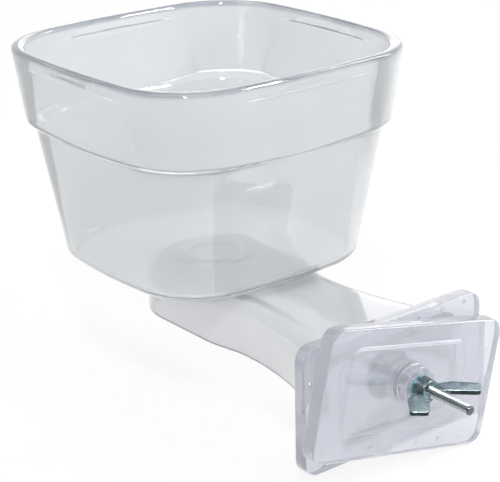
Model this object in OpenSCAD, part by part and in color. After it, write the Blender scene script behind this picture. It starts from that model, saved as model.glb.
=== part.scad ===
// Clear seed cup that twist-locks onto a bracket, which clamps to a cage wall with one bolt.
// The origin is on the bolt axis, in the plane of the bracket's clamping face. +Z is up, and the
// cup stands on the +Y side. The bolt's free end points along -Y.

/* [Cup] */
// Width of the rim, across the bracket
rim_w = 130; // [110:0.5:160]
// Depth of the rim, along the bracket
rim_d = 127.8; // [110:0.2:160]
// Corner radius of the rim, seen from above
rim_corner_r = 30; // [24:0.5:34]
// Corner radius of the foot, seen from above
foot_corner_r = 27; // [20:0.5:32]
// How far each side bows out at its middle
side_bow = 1.1; // [0:0.1:2]
// Height of the cup over its floor and rim
cup_h = 87.8; // [70:0.2:120]
// Thickness of the wall and the floor
cup_wall = 3; // [2:0.1:4]
// Height of the band round the rim
band_h = 29.5; // [20:0.5:36]
// How far the band draws in towards its lower edge
band_taper = 3.4; // [1:0.1:6]
// How far the wall steps in under the band
shoulder_w = 2.6; // [1:0.1:5]
// Height of that step
shoulder_h = 3.6; // [2:0.1:6]
// How far the body draws in from the step to the foot
body_taper = 7.1; // [3:0.1:10]
// Radius of the foot's lower edge
foot_r = 5.9; // [4.2:0.1:9]
// How much rounder the inside's corners are at the rim than a wall of even thickness would have them
corner_fill = 6; // [0:0.5:9]

/* [Band panels] */
// Distance from the rim down to the upper edge of the flat panel in each face of the band
panel_drop = 5.6; // [3:0.1:10]
// Depth of the panel at its upper edge, in the middle of the face
panel_depth = 0.9; // [0.3:0.1:1.5]
// Depth of the panel at the band's lower edge
panel_foot_depth = 2.2; // [1.6:0.1:3]
// Height of the panel's sloped upper edge
panel_edge = 0.5; // [0.2:0.1:1.5]

/* [Twist lock] */
// Radius of the spigot under the cup
spigot_r = 12.5; // [8:0.1:15]
// Thickness of the spigot's wall
spigot_wall = 2.4; // [1.5:0.1:4]
// Radius of the round pad that rests on the bracket
pad_r = 19; // [17:0.5:22]
// Height of the pad
pad_h = 1; // [0.5:0.1:2]
// How far each lug stands out from the spigot
lug_reach = 3; // [2:0.1:4]
// Thickness of a lug
lug_t = 2; // [1.5:0.1:3]
// Angle that one lug covers
lug_angle = 40; // [20:1:50]
// Angle that the cup turns through between locked and free
twist_angle = 70; // [55:1:80]

/* [Bracket arm] */
// Distance from the clamping face to the cup's axis
reach = 109.7; // [95:0.1:140]
// Height of the arm
arm_h = 21.6; // [18:0.2:30]
// Height of the arm's top over the bolt axis
arm_top_z = 16.2; // [12:0.1:20]
// Thickness of the arm's walls
arm_wall = 3; // [2:0.1:4]
// Radius of the arm's round end, under the cup
arm_end_r = 26.6; // [22:0.1:32]
// Distance from the cup's axis over which the arm keeps the width of its round end
arm_straight = 30; // [0:1:40]
// Half of the arm's width at its waist
waist_half_w = 23.7; // [17:0.1:26]
// Distance from the cup's axis to the waist
waist_at = 52; // [45:1:70]
// Half of the arm's width where it meets the plate
flare_half_w = 34.8; // [24:0.2:37]
// Radius of the arm's upper edges
arm_edge_r = 9; // [5:0.1:10]

/* [Clamp plates] */
// Width of both plates
plate_w = 86.5; // [75:0.5:110]
// Height of both plates
plate_h = 49.8; // [44:0.2:60]
// Corner radius of both plates
plate_corner_r = 6; // [4:0.5:10]
// Thickness of both plates
plate_t = 6.45; // [5:0.05:10]
// Thickness of the web behind each plate's recess
plate_web = 3; // [2:0.1:4]
// Width of the recess in each plate's grip side
recess_w = 59; // [40:0.5:62]
// Height of the recess
recess_h = 33; // [26:0.2:35]
// Corner radius of the recess
recess_corner_r = 5; // [2:0.5:8]
// Distance from the bolt axis down to the plates' middle
plate_drop = 2.7; // [0:0.1:5]
// Gap between the two plates as shown
jaw_gap = 2.1; // [2:0.1:6]
// Angle that the outer plate is turned on the bolt, clockwise seen from outside
plate_turn = 12.8; // [0:0.2:40]
// Radius of the boss round the bolt
boss_r = 7.5; // [6:0.1:9]
// How far the outer plate's boss stands out under the nut
boss_h = 4; // [1:0.1:6]

/* [Grip pips] */
// Distance between the pips along a plate's edge
pip_pitch = 11.6; // [8:0.1:16]
// Distance from a plate's edge in to the pips
pip_inset = 2.5; // [2:0.1:3]
// Radius of a pip where it meets the plate
pip_r = 1; // [0.6:0.1:1.5]
// Height of a pip
pip_h = 0.6; // [0.2:0.05:0.9]

/* [Bolt] */
// Outer radius of the thread
thread_r = 2; // [1.5:0.1:3]
// Pitch of the thread
thread_pitch = 0.7; // [0.5:0.05:1]
// Depth of the thread
thread_depth = 0.36; // [0.2:0.02:0.5]
// Length of the bolt under its head
bolt_len = 45.5; // [42:0.5:60]
// Radius of the bolt's pan head
head_r = 4; // [3:0.1:6]
// Height of the head
head_h = 2.8; // [2:0.1:4]

/* [Washers] */
// Outer radius of the large washer behind the bracket's plate
back_washer_r = 10; // [7:0.5:12]
// Thickness of the large washer
back_washer_t = 1; // [0.8:0.1:2]
// Outer radius of the washer under the nut
nut_washer_r = 4.5; // [4.5:0.5:7]
// Thickness of the washer under the nut
nut_washer_t = 0.8; // [0.5:0.1:1.5]

/* [Wing nut] */
// Radius of the nut's hub at its base
hub_base_r = 4.6; // [3.5:0.1:6]
// Radius of the hub at its top
hub_top_r = 4.2; // [3:0.1:5]
// Height of the hub
hub_h = 4.6; // [3:0.1:8]
// Distance from the bolt axis to the outer corner of a wing's tip
wing_reach = 17.3; // [14:0.1:22]
// Height of the tip's inner corner over the hub's base
wing_h = 16.5; // [12:0.1:20]
// Thickness of a wing
wing_t = 1.8; // [1:0.1:3]
// Width of a wing across its tip
wing_tip_w = 6.3; // [5:0.1:8]
// How much lower the tip's outer corner lies than its inner one
wing_tip_drop = 2.9; // [0:0.1:4]
// Radius of a wing's corners
wing_corner_r = 1.2; // [0.5:0.1:2]
// Distance from the bolt axis to the heel, where a wing turns outwards
wing_heel_reach = 11.3; // [8:0.1:12]
// Height of the heel's underside over the hub's base
wing_heel_h = 4; // [2:0.1:6]
// Radius of a wing's root
wing_root_r = 2.6; // [1.5:0.1:3]
// Angle that the wings are turned from level
nut_turn = 0; // [-90:1:90]

/* [Fits] */
// Radial clearance of every shaft in its bore
run_gap = 0.08; // [0.02:0.01:0.1]
// Clearance over the lugs and beside their stops
lug_gap = 0.1; // [0.05:0.05:0.3]

/* [Hidden] */

plastic = [0.85, 0.88, 0.9, 0.35];
zinc = [0.72, 0.76, 0.78];

// How far a cut runs past what it cuts
overrun = 1;

// Places that follow from the sizes above
cup_z = arm_top_z + pad_h;
arm_bottom_z = arm_top_z - arm_h;
web_under_z = arm_top_z - arm_wall;
spigot_h = pad_h + arm_wall + lug_gap + lug_t;
outer_back_y = -jaw_gap;
outer_front_y = outer_back_y - plate_t;
boss_top_y = outer_front_y - boss_h;
nut_base_y = boss_top_y - nut_washer_t;
bolt_bore_r = thread_r + run_gap;
head_seat_y = plate_t + back_washer_t;

// Angles round the spigot: a notch's spare angle, and the angle that a stop covers
notch_spare_angle = 6;
stop_angle = 5;
stop_gap_angle = lug_gap / spigot_r * 180 / PI + 1;

// Most that a corner's radius may be, as a share of half the cup's width there
corner_limit_share = 0.9;
// Share of a wing's height at which its root starts
wing_root_share = 0.1;
// Shares of the web's thickness to which the arm's hollow and its outside run into it
hollow_end_share = 0.3;
outside_end_share = 0.6;

// Depth of the panel at its foot, where it can't be deeper than the step under the band
panel_foot = min(panel_foot_depth, shoulder_w);

// Number of steps along the curves of the lofted solids
corner_steps = 5;
panel_steps = 4;
band_steps = 6;
edge_steps = 5;
end_steps = 14;
arm_side_steps = 16;

// Value between a and b at share t, straight and eased
function between(a, b, t) = a + (b - a) * t;
function eased(a, b, t) = between(a, b, (1 - cos(180 * t)) / 2);

function reversed(list) = [for (i = [len(list) - 1:-1:0]) list[i]];

// Closed solid through rings of equal length. Its first and last rings are closed by strips between
// facing points, which lie in mirrored pairs counted from the ring's two ends.
module loft(rings) {
    n = len(rings[0]);
    last = len(rings) - 1;
    sides = [
        for (i = [0:last - 1], j = [0:n - 1], upper = [0, 1])
        let (a = i * n + j, b = i * n + (j + 1) % n)
        upper == 0 ? [a, b + n, b] : [a, a + n, b + n]
    ];
    strip = [
        for (j = [0:floor((n - 1) / 2) - 1])
        each j + 1 < n - 2 - j
            ? [[j, j + 1, n - 1 - j], [j + 1, n - 2 - j, n - 1 - j]]
            : [[j, j + 1, n - 1 - j]]
    ];
    last_strip = [for (t = strip) [for (v = reversed(t)) last * n + v]];
    polyhedron([for (ring = rings) each ring], concat(strip, sides, last_strip));
}

// Distance of a side from the axis at u along it: bowed, and beyond flat round the corner
function side_at(u, normal_half, flat, r) =
    abs(u) < flat
        ? normal_half + side_bow * (1 - pow(u / flat, 2))
        : normal_half - r + sqrt(r * r - pow(abs(u) - flat, 2));

// Half of the width over which a plane cuts a side, the cut being deepest at the side's middle
function crease_at(flat, r, cut) =
    cut < side_bow
        ? flat * sqrt(cut / side_bow)
        : flat + sqrt(r * r - pow(r - cut + side_bow, 2));

// One side of a rounded square, from the middle of one corner to that of the next, for the side
// whose normal is at turn. Its points are set out for a panel crease_cut deep and cut to cut.
function cup_side(turn, normal_half, along_half, r, cut, crease_cut, z) =
    let (
        flat = along_half - r,
        crease = crease_at(flat, r, crease_cut),
        diagonal = flat + r * sin(45),
        outer = [for (i = [1:corner_steps]) between(crease, diagonal, i / corner_steps)],
        inner = [for (i = [-panel_steps:panel_steps]) crease * i / panel_steps],
        stops = concat([for (u = reversed(outer)) -u], inner, [for (i = [0:corner_steps - 2]) outer[i]])
    )
    [for (u = stops)
        let (
            out = min(side_at(u, normal_half, flat, r), normal_half + side_bow - cut),
            q = [cos(turn), sin(turn)] * out + [-sin(turn), cos(turn)] * u
        ) [q[0], reach + q[1], z]];

// Ring of the cup: inset from the rim's outline, then in by depth of wall, at height h
function cup_ring(inset, depth, h, cut = 0, crease_cut = panel_foot, fill = 0) =
    let (
        half_w = rim_w / 2 - side_bow - inset - depth,
        half_d = rim_d / 2 - side_bow - inset - depth,
        even_r = between(foot_corner_r, rim_corner_r, h / cup_h) - depth,
        r = min(even_r + fill * h / cup_h, corner_limit_share * min(half_w, half_d))
    )
    [for (k = [0:3]) each cup_side(90 * k, k % 2 == 0 ? half_w : half_d,
        k % 2 == 0 ? half_d : half_w, r, cut, crease_cut, cup_z + h)];

// Heights over the cup's underside, and insets from the rim
step_foot_h = cup_h - band_h - shoulder_h;
step_top_h = cup_h - band_h;
step_inset = band_taper + shoulder_w;
foot_inset = step_inset + body_taper;
rim_r = cup_wall / 2;

function band_inset(h) = between(band_taper, 0, (h - step_top_h) / band_h);

// Rings that both faces of the wall share, from the foot's edge up to the panels' upper edges
panel_top_h = cup_h - panel_drop - panel_edge;
function wall_rings(depth, fill) = concat(
    [for (i = [0:edge_steps - 1])
        let (inset = eased(step_inset, band_taper, i / edge_steps))
        cup_ring(inset, depth, between(step_foot_h, step_top_h, i / edge_steps),
            max(0, band_taper + panel_foot - inset), panel_foot, fill)],
    [for (i = [0:band_steps])
        let (
            h = between(step_top_h, panel_top_h, i / band_steps),
            cut = between(panel_foot, panel_depth, i / band_steps)
        )
        cup_ring(band_inset(h), depth, h, cut, cut, fill)]
);

// Rings round the lower edge, r being the radius of that face's edge
function foot_rings(r, fill) = [
    for (i = [0:edge_steps])
    let (a = 90 * i / edge_steps)
    cup_ring(foot_inset, foot_r - r * sin(a), foot_r - r * cos(a), 0, panel_foot, fill)
];

module cup_shell() {
    panel_end_h = cup_h - panel_drop;
    rim = [
        for (i = [0:2 * edge_steps])
        let (a = 90 * i / edge_steps, depth = rim_r - rim_r * cos(a))
        cup_ring(band_inset(cup_h - rim_r), depth, cup_h - rim_r + rim_r * sin(a), 0, panel_depth,
            corner_fill * depth / cup_wall)
    ];
    loft(concat(
        foot_rings(foot_r, 0),
        wall_rings(0, 0),
        [cup_ring(band_inset(panel_end_h), 0, panel_end_h, 0, panel_depth)],
        rim,
        reversed(wall_rings(cup_wall, corner_fill)),
        reversed(foot_rings(foot_r - cup_wall, corner_fill))
    ));
}

// Block between two radii, over an angle centred on the X axis, from z = 0 up
module sector(inner_r, outer_r, angle, h) {
    rotate([0, 0, -angle / 2])
        rotate_extrude(angle = angle, $fn = 120)
            translate([inner_r, 0])
                square([outer_r - inner_r, h]);
}

module tube(outer_r, inner_r, h) {
    difference() {
        cylinder(r = outer_r, h = h, $fn = 96);
        translate([0, 0, -overrun])
            cylinder(r = inner_r, h = h + 2 * overrun, $fn = 96);
    }
}

module cup() {
    color(plastic) {
        cup_shell();
        translate([0, reach, cup_z - pad_h])
            tube(pad_r, spigot_r - spigot_wall, pad_h);
        translate([0, reach, cup_z - spigot_h])
            tube(spigot_r, spigot_r - spigot_wall, spigot_h);
        for (side = [0, 180])
            translate([0, reach, cup_z - spigot_h])
                rotate([0, 0, side])
                    sector(spigot_r - spigot_wall / 2, spigot_r + lug_reach, lug_angle, lug_t);
    }
}

// Half of the arm's width at a distance from the cup's axis towards the plate
arm_len = reach - plate_t;
function arm_half_w(along) =
    along < waist_at
        ? eased(arm_end_r, waist_half_w, max(0, along - arm_straight) / (waist_at - arm_straight))
        : between(waist_half_w, flare_half_w, pow((along - waist_at) / (arm_len - waist_at), 2));

// Plan outline of the arm, drawn in by depth, ending at the plane y = end_y
function arm_ring(depth, z, end_y) =
    let (
        length = reach - end_y,
        sides = [for (i = [0:arm_side_steps]) length * (1 - i / arm_side_steps)]
    )
    concat(
        [for (along = sides) [arm_half_w(min(along, arm_len)) - depth, reach - along, z]],
        [for (i = [1:end_steps - 1])
            let (a = 180 * i / end_steps, r = arm_end_r - depth)
            [r * cos(a), reach + r * sin(a), z]],
        [for (along = reversed(sides)) [depth - arm_half_w(min(along, arm_len)), reach - along, z]]
    );

// Rings over the arm's rounded upper edge, r being that face's radius
function arm_edge_rings(r, end_y) = [
    for (i = [0:edge_steps])
    let (a = 90 * i / edge_steps)
    arm_ring(arm_edge_r - r * cos(a), arm_top_z - arm_edge_r + r * sin(a), end_y)
];

// The arm's open end runs into the plate's web, its hollow to one depth and its outside deeper
module arm_shell() {
    hollow_end_y = plate_t - plate_web * hollow_end_share;
    outside_end_y = plate_t - plate_web * outside_end_share;
    loft(concat(
        reversed(arm_edge_rings(arm_edge_r - arm_wall, hollow_end_y)),
        [arm_ring(arm_wall, arm_bottom_z, hollow_end_y)],
        [arm_ring(0, arm_bottom_z, outside_end_y)],
        arm_edge_rings(arm_edge_r, outside_end_y)
    ));
}

module plate_outline(w, h, r) {
    square([w - 2 * r, h], center = true);
    square([w, h - 2 * r], center = true);
    for (x = [-1, 1], z = [-1, 1])
        translate([x * (w / 2 - r), z * (h / 2 - r)])
            circle(r = r, $fn = 64);
}

// Places of the pips along half of a side of the given length, both ways from its middle
function pip_places(length) =
    let (n = floor(length / 2 / pip_pitch))
    [for (i = [-n:n]) i * pip_pitch];

module pip() {
    // a cap of a ball, pip_r wide and pip_h high
    ball_r = (pip_r * pip_r + pip_h * pip_h) / (2 * pip_h);
    intersection() {
        translate([0, 0, pip_h - ball_r])
            sphere(r = ball_r, $fn = 32);
        translate([0, 0, -pip_h])
            cylinder(r = pip_r, h = 3 * pip_h, $fn = 32);
    }
}

// A plate, grip side up at z = plate_t: a recess with a boss round the bolt, and pips at the edges
module plate() {
    side_x = plate_w / 2 - pip_inset;
    side_z = plate_h / 2 - pip_inset;
    translate([0, -plate_drop, 0])
        difference() {
            linear_extrude(plate_t)
                plate_outline(plate_w, plate_h, plate_corner_r);
            translate([0, 0, plate_web])
                linear_extrude(plate_t)
                    plate_outline(recess_w, recess_h, recess_corner_r);
        }
    cylinder(r = boss_r, h = plate_t, $fn = 96);
    translate([0, -plate_drop, plate_t]) {
        for (x = pip_places(plate_w - 2 * plate_corner_r), side = [-1, 1])
            translate([x, side * side_z, 0])
                pip();
        for (z = pip_places(plate_h - 2 * pip_inset - pip_pitch), side = [-1, 1])
            translate([side * side_x, z, 0])
                pip();
    }
}

module bolt_bore(length) {
    translate([0, 0, -overrun])
        cylinder(r = bolt_bore_r, h = length + 2 * overrun, $fn = 64);
}

module arm_bracket() {
    hole_r = spigot_r + run_gap;
    notch_r = spigot_r + lug_reach + lug_gap;
    color(plastic) {
        difference() {
            union() {
                arm_shell();
                translate([0, plate_t, 0])
                    rotate([90, 0, 0])
                        plate();
            }
            translate([0, reach, web_under_z - overrun])
                cylinder(r = hole_r, h = arm_wall + 2 * overrun, $fn = 96);
            for (side = [0, 180])
                translate([0, reach, web_under_z - overrun])
                    rotate([0, 0, side + twist_angle])
                        sector(spigot_r - spigot_wall, notch_r, lug_angle + notch_spare_angle,
                            arm_wall + 2 * overrun);
            translate([0, plate_t, 0])
                rotate([90, 0, 0])
                    bolt_bore(plate_t);
        }
        for (side = [0, 180], place = [
                -lug_angle / 2 - stop_gap_angle - stop_angle / 2,
                twist_angle + lug_angle / 2 + notch_spare_angle / 2 + stop_gap_angle + stop_angle / 2])
            translate([0, reach, web_under_z - lug_t - lug_gap])
                rotate([0, 0, side + place])
                    sector(hole_r + lug_gap, notch_r, stop_angle, lug_t + lug_gap + arm_wall / 2);
    }
}

module clamp_plate() {
    color(plastic)
        translate([0, outer_front_y, 0])
            rotate([0, plate_turn, 0])
                difference() {
                    union() {
                        rotate([-90, 0, 0])
                            mirror([0, 1, 0])
                                plate();
                        rotate([90, 0, 0])
                            cylinder(r = boss_r, h = boss_h, $fn = 96);
                    }
                    translate([0, plate_t, 0])
                        rotate([90, 0, 0])
                            bolt_bore(plate_t + boss_h);
                }
}

module washer(outer_r, thickness, seat_y) {
    translate([0, seat_y, 0])
        rotate([90, 0, 0])
            tube(outer_r, bolt_bore_r, thickness);
}

module back_washer() {
    color(zinc)
        washer(back_washer_r, back_washer_t, head_seat_y);
}

module nut_washer() {
    color(zinc)
        washer(nut_washer_r, nut_washer_t, boss_top_y);
}

// Half profile of the bolt: head, then the thread's grooves, then a chamfered tip
module bolt_profile() {
    root_r = thread_r - thread_depth;
    neck = thread_pitch * 2;
    turns = floor((bolt_len - neck - thread_depth) / thread_pitch);
    crown_r = (head_r * head_r + head_h * head_h) / (2 * head_h);
    crown_angle = asin(head_r / crown_r);
    head = [
        for (i = [0:edge_steps])
        let (a = crown_angle * i / edge_steps)
        [crown_r * sin(a), -head_h + crown_r - crown_r * cos(a)]
    ];
    grooves = [
        for (i = [0:turns - 1], part = [0, 1])
        let (start = neck + i * thread_pitch)
        part == 0 ? [thread_r, start] : [root_r, start + thread_pitch / 2]
    ];
    tip = [
        [thread_r, neck + turns * thread_pitch],
        [root_r, bolt_len],
        [0, bolt_len]
    ];
    polygon(concat(head, [[thread_r, 0]], grooves, tip));
}

module bolt() {
    color(zinc)
        translate([0, head_seat_y, 0])
            rotate([90, 0, 0])
                rotate_extrude($fn = 48)
                    bolt_profile();
}

// Places of a wing's corners: its heel, the outer and inner corner of its tip, and its root
module wing() {
    tip_width = sqrt(wing_tip_w * wing_tip_w - wing_tip_drop * wing_tip_drop);
    corners = [
        [wing_heel_reach - wing_corner_r, wing_heel_h + wing_corner_r],
        [wing_reach - wing_corner_r, wing_h - wing_tip_drop - wing_corner_r],
        [wing_reach - tip_width + wing_corner_r, wing_h - wing_corner_r]
    ];
    translate([0, wing_t / 2, 0])
        rotate([90, 0, 0])
            linear_extrude(wing_t)
                hull() {
                    for (corner = corners)
                        translate(corner)
                            circle(r = wing_corner_r, $fn = 32);
                    translate([hub_top_r - wing_t / 2, wing_h * wing_root_share + wing_root_r])
                        circle(r = wing_root_r, $fn = 32);
                }
}

module wing_nut() {
    color(zinc)
        translate([0, nut_base_y, 0])
            rotate([90, 0, 0])
                rotate([0, 0, nut_turn])
                    difference() {
                        union() {
                            cylinder(r1 = hub_base_r, r2 = hub_top_r, h = hub_h, $fn = 64);
                            for (side = [0, 180])
                                rotate([0, 0, side])
                                    wing();
                        }
                        bolt_bore(wing_h);
                    }
}

cup();
arm_bracket();
back_washer();
bolt();
clamp_plate();
nut_washer();
wing_nut();
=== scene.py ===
"""Looks of the clear seed cup, its clamp bracket and its plated hardware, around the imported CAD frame."""

import math

import bmesh
import bpy
from mathutils import Matrix, Vector


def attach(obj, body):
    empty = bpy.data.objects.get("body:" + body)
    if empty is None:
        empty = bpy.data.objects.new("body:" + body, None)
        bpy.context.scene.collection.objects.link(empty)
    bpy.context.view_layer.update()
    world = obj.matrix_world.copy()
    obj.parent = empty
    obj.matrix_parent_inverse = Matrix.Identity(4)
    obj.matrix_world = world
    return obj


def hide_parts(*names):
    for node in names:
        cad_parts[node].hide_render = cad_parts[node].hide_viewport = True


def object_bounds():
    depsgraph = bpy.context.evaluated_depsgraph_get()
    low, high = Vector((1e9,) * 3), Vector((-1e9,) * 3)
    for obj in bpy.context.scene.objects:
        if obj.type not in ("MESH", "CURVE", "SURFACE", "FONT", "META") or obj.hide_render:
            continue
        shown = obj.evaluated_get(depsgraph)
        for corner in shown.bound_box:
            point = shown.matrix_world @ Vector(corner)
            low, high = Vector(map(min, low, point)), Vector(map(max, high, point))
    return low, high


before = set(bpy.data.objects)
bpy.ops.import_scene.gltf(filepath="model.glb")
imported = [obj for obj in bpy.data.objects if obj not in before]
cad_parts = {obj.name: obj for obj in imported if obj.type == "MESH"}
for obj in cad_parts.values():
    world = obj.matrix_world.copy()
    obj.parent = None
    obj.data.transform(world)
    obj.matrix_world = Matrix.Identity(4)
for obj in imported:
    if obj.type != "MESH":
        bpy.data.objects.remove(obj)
BOUNDS_AT_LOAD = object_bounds()
scene = bpy.context.scene
MM = 0.001

# Sizes of the part, in millimetres and degrees, as the CAD has them
RIM_W, RIM_D, RIM_R, FOOT_R, BOW = 130.0, 127.8, 30.0, 27.0, 1.1
CUP_H, WALL, BAND_H, BAND_TAPER = 87.8, 3.0, 29.5, 3.4
SHOULDER_W, SHOULDER_H, BODY_TAPER, FOOT_EDGE = 2.6, 3.6, 7.1, 5.9
CORNER_FILL, PANEL_DROP, PANEL_DEPTH, PANEL_FOOT, PANEL_EDGE = 6.0, 5.6, 0.9, 2.2, 0.5
SPIGOT_R, SPIGOT_WALL, PAD_R, PAD_H = 12.5, 2.4, 19.0, 1.0
LUG_REACH, LUG_T, LUG_ANGLE, TWIST = 3.0, 2.0, 40.0, 70.0
REACH, ARM_H, ARM_TOP, ARM_WALL, ARM_END_R = 109.7, 21.6, 16.2, 3.0, 26.6
ARM_STRAIGHT, WAIST, WAIST_AT, FLARE, ARM_EDGE = 30.0, 23.7, 52.0, 34.8, 9.0
PLATE_W, PLATE_H, PLATE_R, PLATE_T, WEB = 86.5, 49.8, 6.0, 6.45, 3.0
RECESS_W, RECESS_H, RECESS_R = 59.0, 33.0, 5.0
PLATE_DROP, JAW_GAP, PLATE_TURN, BOSS_R, BOSS_H = 2.7, 2.1, 12.8, 7.5, 4.0
PIP_PITCH, PIP_INSET, PIP_R, PIP_H = 11.6, 2.5, 1.0, 0.6
THREAD_R, PITCH, THREAD_D, BOLT_LEN, HEAD_R, HEAD_H = 2.0, 0.7, 0.36, 45.5, 4.0, 2.8
WASHER_R, WASHER_T, NUT_WASHER_R, NUT_WASHER_T = 10.0, 1.0, 4.5, 0.8
HUB_BASE, HUB_TOP, HUB_H, WING_REACH, WING_H, WING_T, NUT_TURN = 4.6, 4.2, 4.6, 17.3, 16.5, 1.8, 0.0
WING_TIP_W, WING_TIP_DROP, WING_CORNER = 6.3, 2.9, 1.2
WING_HEEL_REACH, WING_HEEL_H, WING_ROOT = 11.3, 4.0, 2.6
GAP, STOP_GAP, NOTCH_MARGIN = 0.08, 0.1, 6.0
QUARTER = math.pi / 2

CUP_Z = ARM_TOP + PAD_H
ARM_BOTTOM = ARM_TOP - ARM_H
BORE_R = THREAD_R + GAP
SPIGOT_H = PAD_H + ARM_WALL + STOP_GAP + LUG_T
OUTER_FRONT = -JAW_GAP - PLATE_T
NUT_BASE = OUTER_FRONT - BOSS_H - NUT_WASHER_T
HEAD_SEAT = PLATE_T + WASHER_T


def lerp(a, b, t):
    return a + (b - a) * t


def ease(a, b, t):
    return lerp(a, b, (1 - math.cos(math.pi * t)) / 2)


def steps(a, b, n, last=False):
    return [lerp(a, b, i / n) for i in range(n + 1 if last else n)]


def on_circle(r, angle):
    return r * math.cos(angle), r * math.sin(angle)


def arc(cx, cy, r, start, end, n):
    """Points of an arc in a profile plane, angles in degrees, both ends included."""
    turns = [on_circle(r, math.radians(a)) for a in steps(start, end, n, True)]
    return [(cx + x, cy + y) for x, y in turns]


def circle(r, z, n, x=0.0, y=0.0):
    """A level ring of n points round the place (x, y)."""
    turns = [on_circle(r, 2 * math.pi * j / n) for j in range(n)]
    return [(x + c, y + s, z) for c, s in turns]


def to_bolt_axis(y):
    """Turns a piece that was made upright onto the bolt's axis, its foot at y and its top towards -y."""
    return Matrix.Translation((0, y * MM, 0)) @ Matrix.Rotation(math.radians(90), 4, "X")


# Meshes

# The angles in degrees from which an edge stays sharp: as a rule, and on pieces with finer or rounder edges
SHARP, CUP_SHARP, PLATE_SHARP, TURNED_SHARP, SCREW_SHARP, WING_SHARP = 38.0, 24, 30, 40, 50, 60


def solid(name, verts, faces, sharp=SHARP):
    """A mesh object from millimetre points, smooth shaded except over its sharp edges."""
    mesh = bpy.data.meshes.new(name)
    mesh.from_pydata([(x * MM, y * MM, z * MM) for x, y, z in verts], [], faces)
    obj = bpy.data.objects.new(name, mesh)
    scene.collection.objects.link(obj)
    soften(obj, sharp)
    return obj


def soften(obj, sharp=SHARP):
    bm = bmesh.new()
    bm.from_mesh(obj.data)
    bmesh.ops.recalc_face_normals(bm, faces=bm.faces)
    for face in bm.faces:
        face.smooth = True
    for edge in bm.edges:
        edge.smooth = len(edge.link_faces) == 2 and edge.calc_face_angle(0) < math.radians(sharp)
    bm.to_mesh(obj.data)
    bm.free()


def loft(name, rings, sharp=SHARP, joined=False):
    """A closed mesh through rings of equal length: a disc at each end, or joined to itself like a ring."""
    n = len(rings[0])
    verts = [p for ring in rings for p in ring]
    faces = []
    count = len(rings)
    for i in range(count if joined else count - 1):
        a, b = i * n, ((i + 1) % count) * n
        for j in range(n):
            k = (j + 1) % n
            faces.append((a + j, a + k, b + k, b + j))
    if not joined:
        for ring, start in ((rings[0], 0), (rings[-1], (count - 1) * n)):
            mid = len(verts)
            verts.append(tuple(sum(p[c] for p in ring) / n for c in range(3)))
            faces += [(start + j, start + (j + 1) % n, mid) for j in range(n)]
    return solid(name, verts, faces, sharp)


def lathe(name, profile, n=96, sharp=SHARP, axis_y=None, closed=False):
    """A turned piece. profile is (radius, distance along the axis); axis_y turns it to the bolt's axis."""
    rings = [circle(r, z, n) for r, z in profile]
    if axis_y is not None:
        rings = [[(x, axis_y - z, y) for x, y, z in ring] for ring in rings]
    return loft(name, rings, sharp, joined=closed)


def boolean(obj, other, operation):
    mod = obj.modifiers.new("cut", "BOOLEAN")
    mod.operation = operation
    mod.solver = "EXACT"
    mod.object = other
    apply_modifiers(obj)
    bpy.data.objects.remove(other)


def apply_modifiers(obj):
    graph = bpy.context.evaluated_depsgraph_get()
    graph.update()
    mesh = bpy.data.meshes.new_from_object(obj.evaluated_get(graph))
    obj.modifiers.clear()
    obj.data = mesh


def merged(name, objs):
    """Several separate meshes as one object."""
    bm = bmesh.new()
    for o in objs:
        bm.from_mesh(o.data)
        bpy.data.objects.remove(o)
    mesh = bpy.data.meshes.new(name)
    bm.to_mesh(mesh)
    bm.free()
    obj = bpy.data.objects.new(name, mesh)
    scene.collection.objects.link(obj)
    return obj


# The cup

CORNER_STEPS, PANEL_STEPS, ROUND_STEPS, FOOT_STEPS, WALL_STEPS = 16, 24, 4, 10, 16
NEAR_CREASE = (0.2, 0.5, 0.9, 1.5)
CREASE_SOFT = 0.25
CORNER_TRIES = 8
SPIGOT_EDGE, SPIGOT_MOUTH, PAD_EDGE, PAD_LIFT, LUG_RAMP = 0.4, 0.3, 0.3, 0.05, 0.02
CEILING_RINGS, FLOOR_RINGS = (1.0, 0.6), (30, 12, 2)
PAD_BORDER = 4


def soft_min(a, b, width):
    near = max(width - abs(a - b), 0) / width
    return min(a, b) - near * near * width / 4


def side_stops(crease, diagonal):
    """Places along one side, from one corner's middle to the next, closer together by the panel's edges."""
    inner = crease - NEAR_CREASE[-1]
    half = steps(0, inner, PANEL_STEPS) + [crease - d for d in reversed(NEAR_CREASE)]
    half += [crease] + [crease + d for d in NEAR_CREASE[:-1]]
    half += steps(crease + NEAR_CREASE[-1], diagonal, CORNER_STEPS, True)
    return [-u for u in reversed(half)] + half[1:-1]


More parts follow.
